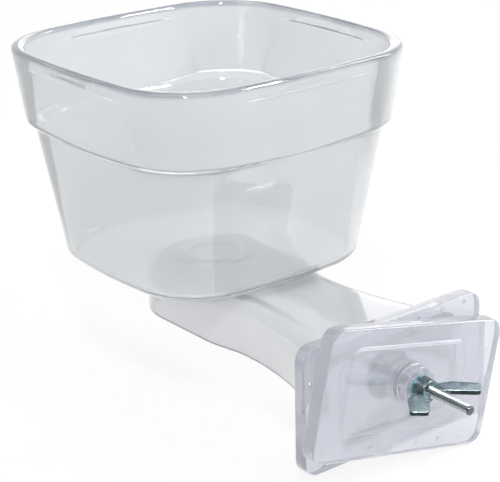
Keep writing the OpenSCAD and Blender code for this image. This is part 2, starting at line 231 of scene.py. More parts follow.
def cup_ring(inset, depth, h, cut=0.0, crease_cut=PANEL_FOOT, fill=0.0):
    """The cup's outline at height h: four bowed sides that run into round corners without a kink, each cut
    by a flat panel. The points are set out for a panel crease_cut deep."""
    a, b = RIM_W / 2 - inset - depth, RIM_D / 2 - inset - depth
    r = lerp(FOOT_R, RIM_R, h / CUP_H) - depth + fill * h / CUP_H
    side_x, side_y = (b - BOW - r) ** 2 / (2 * BOW), (a - BOW - r) ** 2 / (2 * BOW)
    cx, cy = a - r, b - r
    for _ in range(CORNER_TRIES):
        cx = a - side_x + math.sqrt((side_x - r) ** 2 - cy * cy)
        cy = b - side_y + math.sqrt((side_y - r) ** 2 - cx * cx)
    turn_x, turn_y = math.atan2(cy, cx - a + side_x), math.atan2(cx, cy - b + side_y)
    ring = []
    for k in range(4):
        half, big, turn = (a, side_x, turn_x) if k % 2 == 0 else (b, side_y, turn_y)
        out, along = (cx, cy) if k % 2 == 0 else (cy, cx)
        flat = big * math.sin(turn)
        crease = math.sqrt(big ** 2 - (big - crease_cut) ** 2)
        if crease > flat:
            crease = along + math.sqrt(r ** 2 - (half - crease_cut - out) ** 2)
        c, s = on_circle(1, k * QUARTER)
        for u in side_stops(crease, along + r * math.sqrt(0.5)):
            if abs(u) < flat:
                x = half - big + math.sqrt(big ** 2 - u * u)
            else:
                x = out + math.sqrt(r ** 2 - (abs(u) - along) ** 2)
            if cut > 0:
                x = soft_min(x, half - cut, CREASE_SOFT)
            ring.append((c * x - s * u, REACH + s * x + c * u, CUP_Z + h))
    return ring


def round_ring(r, h, lugs=False):
    """A circle about the cup's axis whose points face those of the cup's outline."""
    ring = []
    for x, y, _ in cup_ring(0, 0, CUP_H):
        t = math.atan2(y - REACH, x)
        near = abs(math.sin(t)) < math.sin(math.radians(LUG_ANGLE / 2))
        rr = r + LUG_REACH if lugs and near else r
        ring.append((rr * math.cos(t), REACH + rr * math.sin(t), CUP_Z + h))
    return ring


STEP_TOP, STEP_FOOT = CUP_H - BAND_H, CUP_H - BAND_H - SHOULDER_H
STEP_INSET = BAND_TAPER + SHOULDER_W
FOOT_INSET = STEP_INSET + BODY_TAPER
RIM_EDGE = WALL / 2


def band_inset(h):
    return lerp(BAND_TAPER, 0, (h - STEP_TOP) / BAND_H)


BODY_SHARES, BODY_STEPS, SHOULDER_STEPS = (0.08, 0.97), 8, 10
PANEL_TOP_SHARES = (0.3, 0.7, 1.0)


def wall_rings(depth, fill, crisp):
    """From the foot up to the rim's edge. The panel's upper edge is crisp outside and soft inside."""
    rings = []
    for t in steps(*BODY_SHARES, BODY_STEPS, True):
        inset, h = lerp(FOOT_INSET, STEP_INSET, t), lerp(FOOT_EDGE, STEP_FOOT, t)
        rings.append(cup_ring(inset, depth, h, fill=fill))
    for t in steps(0, 1, SHOULDER_STEPS):
        inset = ease(STEP_INSET, BAND_TAPER, t)
        cut = max(0, BAND_TAPER + PANEL_FOOT - inset)
        rings.append(cup_ring(inset, depth, lerp(STEP_FOOT, STEP_TOP, t), cut, fill=fill))
    high, top = CUP_H - PANEL_DROP - PANEL_EDGE, CUP_H - RIM_EDGE
    for t in steps(0, 1, WALL_STEPS, True):
        h, cut = lerp(STEP_TOP, high, t), lerp(PANEL_FOOT, PANEL_DEPTH, t)
        rings.append(cup_ring(band_inset(h), depth, h, cut, cut, fill))
    for t in PANEL_TOP_SHARES:
        h, cut = lerp(high, high + PANEL_EDGE if crisp else top, t), PANEL_DEPTH * (1 - ease(0, 1, t))
        rings.append(cup_ring(band_inset(h), depth, h, cut, PANEL_DEPTH, fill))
    return rings


def foot_rings(r, fill):
    """The rounding from the floor's underside, or its inside, up to the wall."""
    rings = []
    for t in steps(0, QUARTER, FOOT_STEPS, True):
        up, out = on_circle(r, t)
        rings.append(cup_ring(FOOT_INSET, FOOT_EDGE - out, FOOT_EDGE - up, fill=fill))
    return rings


def make_cup():
    """One chain of rings: the spigot from its ceiling out and down, its lugs, the pad, up the outside of the
    cup, over the rim, down the inside and to the middle of the floor."""
    inner, pad = SPIGOT_R - SPIGOT_WALL, PAD_H - PAD_LIFT
    quarter = steps(0, QUARTER, ROUND_STEPS, True)
    rings = [round_ring(CEILING_RINGS[0], 0.0), round_ring(inner * CEILING_RINGS[1], 0.0)]
    e = SPIGOT_EDGE
    rings += [round_ring(inner - e + e * math.sin(t), -e + e * math.cos(t)) for t in quarter]
    e = SPIGOT_MOUTH
    rings += [round_ring(inner + e - e * math.cos(t), e - SPIGOT_H - e * math.sin(t)) for t in quarter]
    for h, lugs in ((0, False), (LUG_RAMP, True), (LUG_T - LUG_RAMP, True), (LUG_T, False)):
        rings.append(round_ring(SPIGOT_R, h - SPIGOT_H, lugs))
    rings.append(round_ring(SPIGOT_R, -pad))
    e = PAD_EDGE
    rings += [round_ring(PAD_R - e + e * math.sin(t), e - pad - e * math.cos(t)) for t in quarter]
    rings += [round_ring(PAD_R, 0.0), round_ring(PAD_R + PAD_BORDER, 0.0)]
    rings += foot_rings(FOOT_EDGE, 0) + wall_rings(0, 0, True)
    edge_at = CUP_H - RIM_EDGE
    for t in steps(0, math.pi, WALL_STEPS, True):
        depth, h = RIM_EDGE - RIM_EDGE * math.cos(t), edge_at + RIM_EDGE * math.sin(t)
        rings.append(cup_ring(band_inset(edge_at), depth, h, 0, PANEL_DEPTH, CORNER_FILL * depth / WALL))
    rings += wall_rings(WALL, CORNER_FILL, False)[-2::-1] + foot_rings(FOOT_EDGE - WALL, CORNER_FILL)[::-1]
    rings += [round_ring(r, WALL) for r in FLOOR_RINGS]
    return loft("cup_shell", rings, CUP_SHARP)


# The plates, their long way across and z the way through, on the bolt's axis

RECT_SIDE, RECT_CORNER, EDGE_STEPS = 10, 10, 5
LEAST_CORNER = 1.2
BACK_EDGE, GRIP_EDGE, RECESS_EDGE, RECESS_FILLET, BOSS_EDGE, POST_EDGE = 1.1, 0.7, 0.5, 0.9, 0.8, 0.4
BACK_BORDER, BOSS_EDGE_START, RECESS_FOOT = 4.0, 80, 1.2
PIP_POINTS, PIP_STEPS, PIP_TOP, PIP_SUNK, PIP_SUNK_SHARE = 20, 5, 4, 0.4, 0.9


def rect_ring(inset, z, recess=False):
    """A round-cornered outline: the plate's, or that of its recess."""
    if recess:
        w, h, r = RECESS_W / 2 - inset, RECESS_H / 2 - inset, max(RECESS_R - inset, LEAST_CORNER)
    else:
        w, h, r = PLATE_W / 2 - inset, PLATE_H / 2 - inset, max(PLATE_R - inset, LEAST_CORNER)
    ring = []
    ends = ((r - w, h), (-w, r - h), (w - r, -h), (w, h - r))
    for sx, sy, first, (nx, ny) in zip((1, -1, -1, 1), (1, 1, -1, -1), (0, 90, 180, 270), ends):
        cx, cy = sx * (w - r), sy * (h - r)
        for i in range(RECT_CORNER + 1):
            t = math.radians(first + 90 * i / RECT_CORNER)
            ring.append((cx + r * math.cos(t), cy + r * math.sin(t) - PLATE_DROP, z))
        x, y, _ = ring[-1]
        for i in range(1, RECT_SIDE):
            ring.append((lerp(x, nx, i / RECT_SIDE), lerp(y, ny - PLATE_DROP, i / RECT_SIDE), z))
    return ring


def plate_circle(r, z):
    """A circle about the bolt's axis whose points face those of the plate's outline."""
    ring = []
    for x, y, _ in rect_ring(0, 0):
        t = math.atan2(y, x)
        ring.append((r * math.cos(t), r * math.sin(t), z))
    return ring


def plate_rings(outer_boss):
    """One plate as a closed loop of rings, back face at z = 0 and grip rim at z = PLATE_T."""
    rings = []
    if outer_boss:
        e = BOSS_EDGE
        rings += [plate_circle(BORE_R, -BOSS_H), plate_circle(BOSS_R - e, -BOSS_H)]
        edge = arc(0, 0, e, BOSS_EDGE_START, 0, EDGE_STEPS)
        rings += [plate_circle(BOSS_R - e + x, -BOSS_H + e - y) for x, y in edge]
        rings += [plate_circle(BOSS_R + e - x, -e + y) for x, y in arc(0, 0, e, 0, 90, EDGE_STEPS)]
    else:
        rings += [plate_circle(BORE_R, 0), plate_circle(BOSS_R, 0)]
    rings += [rect_ring(BACK_BORDER, 0)]
    e = BACK_EDGE
    rings += [rect_ring(e - x, e - y) for x, y in arc(0, 0, e, 90, 0, EDGE_STEPS + 1)]
    e = GRIP_EDGE
    rings += [rect_ring(e - x, PLATE_T - e + y) for x, y in arc(0, 0, e, 0, 90, EDGE_STEPS)]
    e = RECESS_EDGE
    rings += [rect_ring(x - e, PLATE_T - e + y, True) for x, y in arc(0, 0, e, 90, 0, EDGE_STEPS - 1)]
    e = RECESS_FILLET
    rings += [rect_ring(RECESS_FOOT - x, WEB + e - y, True) for x, y in arc(0, 0, e, 0, 90, EDGE_STEPS)]
    rings += [plate_circle(BOSS_R + e - x, WEB + e - y) for x, y in arc(0, 0, e, 90, 0, EDGE_STEPS)]
    e = POST_EDGE
    rings += [plate_circle(BOSS_R - e + x, PLATE_T - e + y) for x, y in arc(0, 0, e, 0, 90, EDGE_STEPS - 1)]
    rings += [plate_circle(BORE_R, PLATE_T)]
    return rings


def pip_places():
    """Along all four edges of the grip rim."""
    places = []
    long_side = (PLATE_W - 2 * PLATE_R, PLATE_H / 2 - PIP_INSET, True)
    short_side = (PLATE_H - 2 * PIP_INSET - PIP_PITCH, PLATE_W / 2 - PIP_INSET, False)
    for length, offset, along_x in (long_side, short_side):
        n = int(length / 2 / PIP_PITCH)
        for i in range(-n, n + 1):
            for side in (-1, 1):
                along, across = i * PIP_PITCH, side * offset
                places.append((along, across) if along_x else (across, along))
    return places


def make_pips(name):
    ball = (PIP_R ** 2 + PIP_H ** 2) / (2 * PIP_H)
    edge = math.degrees(math.asin(PIP_R / ball))
    profile = [(PIP_R * PIP_SUNK_SHARE, PLATE_T - PIP_SUNK)]
    for t in steps(edge, PIP_TOP, PIP_STEPS, True):
        up, out = on_circle(ball, math.radians(t))
        profile.append((out, PLATE_T + PIP_H - ball + up))
    objs = []
    for x, y in pip_places():
        objs.append(loft("pip", [circle(r, z, PIP_POINTS, x, y - PLATE_DROP) for r, z in profile]))
    return merged(name, objs)


def to_bracket(obj):
    obj.data.transform(to_bolt_axis(PLATE_T))
    return obj


def to_outer(obj):
    """The outer plate: its grip side faces the bracket, and it is turned on the bolt."""
    turn = Matrix.Rotation(math.radians(PLATE_TURN), 4, "Y")
    flip = Matrix(((1, 0, 0, 0), (0, 0, 1, 0), (0, 1, 0, 0), (0, 0, 0, 1)))
    obj.data.transform(Matrix.Translation((0, OUTER_FRONT * MM, 0)) @ turn @ flip)
    obj.data.flip_normals()
    return obj


# The arm

ARM_LEN = REACH - PLATE_T
ARM_SIDE, ARM_END, FILLET_STEPS, FILLET_LAST = 40, 36, 6, 0.06
FILLET, LOWER_EDGE, LOWER_EDGE_START, LOWER_STEPS = 2.2, 0.5, 0.3, 4
# How far into the plate's web the arm's outside and inside reach, as shares of it, and its foot between them
OUTSIDE_SUNK, INSIDE_SUNK, FOOT_SUNK = 0.6, 0.3, 0.2
# How far a cutter reaches past what it cuts, and a notch into the hole; a stop's width and room, in degrees
THROUGH, NOTCH_OVERLAP, STOP_ANGLE, STOP_ROOM = 1.0, 2, 5, 1
HOLE_POINTS, STOP_STEPS = 128, 6


def arm_half(along):
    if along < WAIST_AT:
        return ease(ARM_END_R, WAIST, max(0.0, along - ARM_STRAIGHT) / (WAIST_AT - ARM_STRAIGHT))
    return lerp(WAIST, FLARE, ((along - WAIST_AT) / (ARM_LEN - WAIST_AT)) ** 2)


def fillet_at(along):
    """How far the arm stands out more, where it runs into the plate."""
    d = ARM_LEN - along
    if d < 0:
        return FILLET
    return FILLET - math.sqrt(max(FILLET ** 2 - (FILLET - d) ** 2, 0)) if d < FILLET else 0.0


def arm_stations(end_y):
    """Distances from the cup's axis at which the arm's outline has points, the plate's end first."""
    length = REACH - end_y
    far = steps(0, ARM_LEN - FILLET, ARM_SIDE)
    turns = steps(0, QUARTER - FILLET_LAST, FILLET_STEPS, True)
    near = [ARM_LEN - FILLET + FILLET * math.sin(t) for t in turns]
    return (far + near + [length])[::-1]


def arm_ring(depth, z, end_y, grow=0.0):
    """The arm's outline. grow is the share of the fillet at the plate that this ring shows."""
    sides = arm_stations(end_y)
    half = [arm_half(min(s, ARM_LEN)) - depth + grow * fillet_at(s) for s in sides]
    ring = [(w, REACH - s, z) for w, s in zip(half, sides)]
    r = ARM_END_R - depth
    ring += [(r * math.cos(t), REACH + r * math.sin(t), z) for t in steps(0, math.pi, ARM_END)[1:]]
    ring += [(-w, REACH - s, z) for w, s in reversed(list(zip(half, sides)))]
    return ring


def arm_edge(r, end_y, n=10, grow=0.0):
    """The rounding along the arm's top."""
    rings = []
    for t in steps(0, QUARTER, n, True):
        out, up = on_circle(r, t)
        rings.append(arm_ring(ARM_EDGE - out, ARM_TOP - ARM_EDGE + up, end_y, grow * math.cos(t)))
    return rings


def make_arm():
    """The hollow arm, open below. It ends inside the plate's web, its outside deeper than its inside."""
    deep, shallow = PLATE_T - WEB * OUTSIDE_SUNK, PLATE_T - WEB * INSIDE_SUNK
    between, foot, e = lerp(shallow, deep, FOOT_SUNK), ARM_BOTTOM + LOWER_EDGE, LOWER_EDGE
    rings = arm_edge(ARM_EDGE - ARM_WALL, shallow)[::-1]
    rings += [arm_ring(ARM_WALL, foot, shallow)]
    for t in steps(LOWER_EDGE_START, QUARTER, LOWER_STEPS - 1, True):
        rings.append(arm_ring(ARM_WALL - e + e * math.cos(t), foot - e * math.sin(t), between))
    for t in steps(0, QUARTER, LOWER_STEPS, True):
        rings.append(arm_ring(e - e * math.sin(t), foot - e * math.cos(t), deep, math.sin(t)))
    rings += arm_edge(ARM_EDGE, deep, grow=1.0)
    return fill_caps("arm", rings)


def fill_caps(name, rings):
    """A loft whose two end rings mirror left to right: each is closed by a strip across it."""
    n = len(rings[0])
    verts = [p for ring in rings for p in ring]
    faces = []
    for i in range(len(rings) - 1):
        a, b = i * n, (i + 1) * n
        faces += [(a + j, a + (j + 1) % n, b + (j + 1) % n, b + j) for j in range(n)]
    for start in (0, (len(rings) - 1) * n):
        for j in range((n - 1) // 2):
            quad = (start + j, start + j + 1, start + n - 2 - j, start + n - 1 - j)
            faces.append(quad if quad[1] != quad[2] else (quad[0], quad[1], quad[3]))
    return solid(name, verts, faces)


def sector(r0, r1, angle, turn, z0, z1, n=16):
    """A block between two radii about the cup's axis."""
    verts, faces = [], []
    for t in steps(turn - angle / 2, turn + angle / 2, n, True):
        c, s = math.cos(math.radians(t)), math.sin(math.radians(t))
        verts += [(r * c, REACH + r * s, z) for r, z in ((r0, z0), (r1, z0), (r1, z1), (r0, z1))]
    for i in range(n):
        a = 4 * i
        faces += [(a + k, a + (k + 1) % 4, a + 4 + (k + 1) % 4, a + 4 + k) for k in range(4)]
    faces += [(0, 1, 2, 3), (4 * n + 3, 4 * n + 2, 4 * n + 1, 4 * n)]
    return solid("sector", verts, faces)


def make_bracket():
    """The arm and the rear plate as one moulding, with the twist lock's hole, notches and stops."""
    arm = make_arm()
    plate = to_bracket(loft("plate", plate_rings(False), joined=True))
    pips = to_bracket(make_pips("pips"))
    boolean(plate, pips, "UNION")
    boolean(arm, plate, "UNION")
    under, hole_r = ARM_TOP - ARM_WALL, SPIGOT_R + GAP
    hole = lathe("hole", [(hole_r, under - THROUGH), (hole_r, ARM_TOP + THROUGH)], HOLE_POINTS)
    hole.data.transform(Matrix.Translation((0, REACH * MM, 0)))
    boolean(arm, hole, "DIFFERENCE")
    lug_r = SPIGOT_R + LUG_REACH + STOP_GAP
    for side in (0, 180):
        angle, turn = LUG_ANGLE + NOTCH_MARGIN, side + TWIST
        notch = sector(SPIGOT_R - NOTCH_OVERLAP, lug_r, angle, turn, under - THROUGH, ARM_TOP + THROUGH)
        boolean(arm, notch, "DIFFERENCE")
    clear = math.degrees(STOP_GAP / SPIGOT_R) + STOP_ROOM
    first = -LUG_ANGLE / 2 - clear - STOP_ANGLE / 2
    last = TWIST + LUG_ANGLE / 2 + NOTCH_MARGIN / 2 + clear + STOP_ANGLE / 2
    for side in (0, 180):
        for place in (first, last):
            low, sunk = under - LUG_T - STOP_GAP, under + ARM_WALL / 2
            stop = sector(hole_r + STOP_GAP, lug_r, STOP_ANGLE, side + place, low, sunk, STOP_STEPS)
            boolean(arm, stop, "UNION")
    soften(arm, PLATE_SHARP)
    arm.name = "arm_and_plate"
    return arm


def make_outer_plate():
    plate = loft("plate", plate_rings(True), joined=True)
    boolean(plate, make_pips("pips"), "UNION")
    soften(plate, PLATE_SHARP)
    to_outer(plate)
    plate.name = "outer_plate"
    return plate


# Hardware

BOLT_POINTS, THREAD_FROM, RUN_IN, TIP_CHAMFER, TIP_WORN, SHANK_SLACK = 40, 1.4, 0.6, 0.5, 0.88, 0.05
# One turn of the thread: share of the pitch, and 1 at the crest or 0 at the root
THREAD_FORM = ((0.0, 1.0), (0.10, 1.0), (0.42, 0.0), (0.56, 0.0), (0.92, 0.85))
# Where the rings of the head's crown begin (radians), how many, and the rounding of its edge at the seat
CROWN_FROM, CROWN_STEPS, SEAT_EDGE, SEAT_EDGE_H = 0.02, 10, 0.15, 0.05
SLOT_W, SLOT_L, SLOT_DEPTH = 0.7, 3.8, 1.5
# How far the shank begins inside the head, and how far past the chamfer's start the thread may run
SHANK_SUNK, THREAD_END = 0.3, 0.2
# The last rings of the tip: share of the thread's radius, and distance back from the end
TIP_RINGS = ((0.80, 0.15), (0.7, 0.0))


def make_head():
    """The pan head, its seat at z = 0, with a cross recess."""
    crown = (HEAD_R ** 2 + HEAD_H ** 2) / (2 * HEAD_H)
    rings = []
    for t in steps(CROWN_FROM, math.asin(HEAD_R / crown), CROWN_STEPS, True):
        rings.append(circle(crown * math.sin(t), -HEAD_H + crown - crown * math.cos(t), BOLT_POINTS))
    for r, z in ((HEAD_R, -SEAT_EDGE_H), (HEAD_R - SEAT_EDGE, 0.0), (THREAD_R / 2, 0.0)):
        rings.append(circle(r, z, BOLT_POINTS))
    head = loft("head", rings, SCREW_SHARP)
    x, y = SLOT_L / 2, SLOT_W / 2
    for turn in (0, 90):
        outline = ((-x, -y), (x, -y), (x, y), (-x, y))
        bar = [(i, j, z) for z in (-HEAD_H - 1, -HEAD_H + SLOT_DEPTH) for i, j in outline]
        sides = [(0, 1, 5, 4), (1, 2, 6, 5), (2, 3, 7, 6), (3, 0, 4, 7)]
        slot = solid("slot", bar, [(0, 1, 2, 3), (7, 6, 5, 4)] + sides)
        slot.data.transform(Matrix.Rotation(math.radians(turn), 4, "Z"))
        boolean(head, slot, "DIFFERENCE")
    soften(head, SCREW_SHARP)
    return head


def thread_ring(i, share, crest, end):
    """One ring of the screw's helix: it climbs by one pitch on its way round."""
    ring = []
    for j in range(BOLT_POINTS):
        z = THREAD_FROM + (i + share + j / BOLT_POINTS) * PITCH
        fade = min(1.0, max(0.0, (z - THREAD_FROM) / RUN_IN))
        wear_and_shade = lerp(TIP_WORN, 1.0, min(1.0, max(0.0, (end - z) / TIP_CHAMFER)))
        r = lerp(THREAD_R - SHANK_SLACK, lerp(THREAD_R - THREAD_D, THREAD_R, crest), fade) * wear_and_shade
        ring.append((*on_circle(r, 2 * math.pi * j / BOLT_POINTS), min(z, end + THREAD_END)))
    return ring


def make_bolt():
    """The screw with a true helical thread. z runs from under the head to the tip."""
    head = make_head()
    end = BOLT_LEN - TIP_CHAMFER
    plain = THREAD_R - SHANK_SLACK
    rings = [circle(plain, z - SHANK_SUNK, BOLT_POINTS) for z in (0, THREAD_FROM)]
    for i in range(int((end - THREAD_FROM) / PITCH)):
        rings += [thread_ring(i, share, crest, end) for share, crest in THREAD_FORM]
    rings += [circle(THREAD_R * share, BOLT_LEN - back, BOLT_POINTS) for share, back in TIP_RINGS]
    bolt = merged("screw", [head, loft("shank", rings, SCREW_SHARP)])
    bolt.data.transform(to_bolt_axis(HEAD_SEAT))
    return bolt


WASHER_EDGE, WASHER_SLACK, WASHER_STEPS = 0.18, 0.03, 4


def make_washer(name, r, t, seat):
    e = WASHER_EDGE
    t -= WASHER_SLACK
    profile = [(BORE_R, 0.0)] + [(r - e + x, e - y) for x, y in arc(0, 0, e, 90, 0, WASHER_STEPS)]
    profile += [(r - e + x, t - e + y) for x, y in arc(0, 0, e, 0, 90, WASHER_STEPS)] + [(BORE_R, t)]
    return lathe(name, profile, sharp=TURNED_SHARP, axis_y=seat, closed=True)


# The wing's root, as a share of its height, and the points round each of its corners
ROOT_AT, WING_STEPS = 0.1, 35
HUB_EDGE, HUB_CHAMFER, HUB_POINTS, HUB_BORE_POINTS = 0.5, 0.3, 72, 48


def hull(points):
    """The convex outline round points, anticlockwise."""
    def turn(a, b, c):
        return (b[0] - a[0]) * (c[1] - a[1]) - (b[1] - a[1]) * (c[0] - a[0])

    def half(ordered):
        chain = []
        for p in ordered:
            while len(chain) > 1 and turn(chain[-2], chain[-1], p) <= 1e-9:
                chain.pop()
            chain.append(p)
        return chain[:-1]

    ordered = sorted(set(points))
    return half(ordered) + half(ordered[::-1])


def wing_outline():
    """One wing round its root, its heel and its tip: (distance from the axis, height over the base)."""
    tip_width = math.sqrt(WING_TIP_W ** 2 - WING_TIP_DROP ** 2)
    e = WING_CORNER
    corners = [(HUB_TOP - WING_T / 2, WING_H * ROOT_AT + WING_ROOT, WING_ROOT),
               (WING_HEEL_REACH - e, WING_HEEL_H + e, e),
               (WING_REACH - e, WING_H - WING_TIP_DROP - e, e),
               (WING_REACH - tip_width + e, WING_H - e, e)]
    return hull([p for x, y, r in corners for p in arc(x, y, r, 0, 350, WING_STEPS)])


# From each face of a wing inwards: how deep, and how much smaller the outline is there
WING_ROUNDING = ((0.0, 0.35), (0.1, 0.15), (0.35, 0.0))


def make_wing():
    pts = wing_outline()
    mx, mz = sum(p[0] for p in pts) / len(pts), sum(p[1] for p in pts) / len(pts)
    layers = [(y - WING_T / 2, shrink) for y, shrink in WING_ROUNDING]
    layers += [(WING_T / 2 - y, shrink) for y, shrink in WING_ROUNDING[::-1]]
    rings = []
    for y, shrink in layers:
        ring = []
        for x, z in pts:
            d = math.hypot(x - mx, z - mz)
            k = (d - shrink) / d
            ring.append((mx + (x - mx) * k, y, mz + (z - mz) * k))
        rings.append(ring)
    return loft("wing", rings, WING_SHARP)


def make_wing_nut():
    e = HUB_EDGE
    profile = [(BORE_R, 0.0), (HUB_BASE - HUB_CHAMFER, 0.0), (HUB_BASE, HUB_CHAMFER)]
    profile += [(HUB_TOP - e + x, HUB_H - e + y) for x, y in arc(0, 0, e, 0, 90, 5)] + [(BORE_R, HUB_H)]
    hub = lathe("hub", profile, HUB_POINTS, TURNED_SHARP, closed=True)
    for side in (0, 180):
        wing = make_wing()
        wing.data.transform(Matrix.Rotation(math.radians(side), 4, "Z"))
        boolean(hub, wing, "UNION")
    bore = lathe("bore", [(BORE_R, -THROUGH), (BORE_R, WING_H)], HUB_BORE_POINTS)
    boolean(hub, bore, "DIFFERENCE")
    hub.data.transform(to_bolt_axis(NUT_BASE) @ Matrix.Rotation(math.radians(NUT_TURN), 4, "Z"))
    soften(hub, TURNED_SHARP)
    hub.name = "wing_nut_cast"
    return hub


# Materials

class Nodes:
    """A short way to lay out one material's nodes."""

    def __init__(self, name):
        self.mat = bpy.data.materials.new(name)
        self.mat.use_nodes = True
        self.tree = self.mat.node_tree
        self.tree.nodes.clear()
        self.out = self.add("ShaderNodeOutputMaterial")
        self.bsdf = self.add("ShaderNodeBsdfPrincipled")
        self.link(self.bsdf, "BSDF", self.out, "Surface")
        self.place = self.add("ShaderNodeTexCoord")

    def add(self, kind, **values):
        node = self.tree.nodes.new(kind)
        for key, value in values.items():
            if key in node.inputs:
                node.inputs[key].default_value = value
            else:
                setattr(node, key, value)
        return node

    def link(self, a, out, b, into):
        self.tree.links.new(a.outputs[out], b.inputs[into])

    def noise(self, scale, detail=4.0, rough=0.6, stretch=(1, 1, 1)):
        mapping = self.add("ShaderNodeMapping", Scale=stretch)
        self.link(self.place, "Object", mapping, "Vector")
        node = self.add("ShaderNodeTexNoise", Scale=scale, Detail=detail, Roughness=rough)
        self.link(mapping, "Vector", node, "Vector")
        return node

    def band(self, source, out, low, high, to_low, to_high):
        node = self.add("ShaderNodeMapRange")
        for key, value in (("From Min", low), ("From Max", high), ("To Min", to_low), ("To Max", to_high)):
            node.inputs[key].default_value = value
        self.link(source, out, node, "Value")
        return node

    def ramp(self, source, out, stops):
        node = self.add("ShaderNodeValToRGB")
        ramp = node.color_ramp
        while len(ramp.elements) < len(stops):
            ramp.elements.new(0.5)
        for element, (at, colour) in zip(ramp.elements, stops):
            element.position = at
            element.color = (*colour, 1)
        self.link(source, out, node, "Fac")
        return node

    def bump(self, source, out, strength, distance, after=None):
        node = self.add("ShaderNodeBump", Strength=strength, Distance=distance)
        self.link(source, out, node, "Height")
        if after is not None:
            self.link(after, "Normal", node, "Normal")
        return node

    def axes(self, out):
        """The three parts of the object's own coordinates, or of its own normals."""
        node = self.add("ShaderNodeSeparateXYZ")
        self.link(self.place, out, node, "Vector")
        return node

    def product(self, first, second):
        node = self.add("ShaderNodeMath", operation="MULTIPLY")
        self.link(first, 0, node, 0)
        self.link(second, 0, node, 1)
        return node

    def mixed(self, share, first, second):
        """From the first colour to the second, which is a node or plain numbers."""
        node = self.add("ShaderNodeMix", data_type="RGBA")
        self.link(share, 0, node, 0)
        self.link(first, 0, node, MIX_A)
        if isinstance(second, tuple):
            node.inputs[MIX_B].default_value = (*second, 1)
        else:
            self.link(second, 0, node, MIX_B)
        return node


# Places of the colour sockets on a Mix node
MIX_A, MIX_B, MIX_OUT = 6, 7, 2
# How far behind the clamping face, in millimetres, the tint of the arm's walls begins and is full
WALL_FROM, WALL_FULL = 6, 12
# The rim's dark edge, painted shade that stands in for the dark refraction along the rim: how far below the
# top it begins and is full, and its colour
RIM_SHADE_FROM, RIM_SHADE_FULL, RIM_SHADE_COLOUR = 2.6, 1.0, (0.35, 0.38, 0.45)


def clear_plastic(name, low, high, absorb, density, rough, clear, ior, scale=1.0, thin=None, rim=None):
    """low and high are the ends of the tint, which clouds as moulded plastic does, and rough those of the
    roughness. clear is the share that passes light; the rest is haze. One of the last two is given: thin,
    the tint of the walls behind the plate, which are moulded duller, or rim, the height in millimetres of
    the rim's top, below which a dark edge is painted in stretches: painted shade that stands in for the dark
    refraction along the rim."""
    n = Nodes(name)
    b = n.bsdf
    b.inputs["IOR"].default_value = ior
    b.inputs["Transmission Weight"].default_value = clear
    b.inputs["Coat Weight"].default_value = 0.6
    b.inputs["Coat Roughness"].default_value = 0.02
    cloud = n.noise(14 * scale, 3, 0.5)
    tint = n.ramp(cloud, "Fac", [(0.3, low), (0.7, high)])
    if thin:
        along = n.band(n.axes("Object"), "Y", WALL_FROM * MM, WALL_FULL * MM, 0, 1)
        tint = n.mixed(along, tint, n.ramp(cloud, "Fac", [(0.3, thin[0]), (0.7, thin[1])]))
    # Painted shade: a dark blue-grey edge painted below the rim's top, in stretches, standing in for the
    # dark refraction along the rim
    if rim:
        edge = n.band(n.axes("Object"), "Z", (rim - RIM_SHADE_FROM) * MM, (rim - RIM_SHADE_FULL) * MM, 0, 1)
        wear_and_shade = n.band(n.noise(24, 3, 0.55), "Fac", 0.38, 0.56, 0.45, 1.0)
        tint = n.mixed(n.product(edge, wear_and_shade), tint, RIM_SHADE_COLOUR)
    n.link(tint, MIX_OUT, b, "Base Color")
    smear = n.noise(55, 5, 0.62, (1, 1, 2.2))
    n.link(n.band(smear, "Fac", 0.35, 0.8, *rough), "Result", b, "Roughness")
    flow = n.bump(n.noise(30, 2.0, 0.45), "Fac", 0.24, 0.0012)
    scratch = n.noise(900, 2, 0.5, (1, 1, 0.04))
    fine = n.bump(n.band(scratch, "Fac", 0.62, 0.74, 0, 1), "Result", 0.05, 0.0001, after=flow)
    n.link(fine, "Normal", b, "Normal")
    volume = n.add("ShaderNodeVolumeAbsorption", Color=(*absorb, 1), Density=density)
    n.link(volume, "Volume", n.out, "Volume")
    return n.mat


def zinc(name, low, high, rough, shade=None):
    """Plated steel. shade builds the node of painted shade that darkens its hollows, or its hub and the edge
    faces of its wings.
    """
    n = Nodes(name)
    b = n.bsdf
    b.inputs["Metallic"].default_value = 1.0
    colour = n.ramp(n.noise(420, 5, 0.65), "Fac", [(0.32, low), (0.66, high)])
    if shade:
        tinted = n.add("ShaderNodeVectorMath", operation="SCALE")
        n.link(colour, "Color", tinted, 0)
        n.link(shade(n), 0, tinted, "Scale")
        colour = tinted
    n.link(colour, 0, b, "Base Color")
    n.link(n.band(n.noise(650, 4, 0.7), "Fac", 0.3, 0.75, *rough), "Result", b, "Roughness")
    pits = n.bump(n.noise(2600, 3, 0.6), "Fac", 0.25, 0.00006)
    cast = n.bump(n.noise(500, 2, 0.5), "Fac", 0.3, 0.00015, after=pits)
    n.link(cast, "Normal", b, "Normal")
    return n.mat


def from_axis(n):
    """The distance from the bolt's axis."""
    flat = n.add("ShaderNodeVectorMath", operation="MULTIPLY")
    flat.inputs[1].default_value = (1, 0, 1)
    n.link(n.place, "Object", flat, 0)
    radius = n.add("ShaderNodeVectorMath", operation="LENGTH")
    n.link(flat, "Vector", radius, 0)
    return radius


def thread_shade(n):
    """Painted shade in the thread: from its root, painted dark, to its bright crest."""
    root, crest = THREAD_R - THREAD_D * 0.8, THREAD_R - 0.02
    return n.band(from_axis(n), "Value", root * MM, crest * MM, 0.2, 1.0)


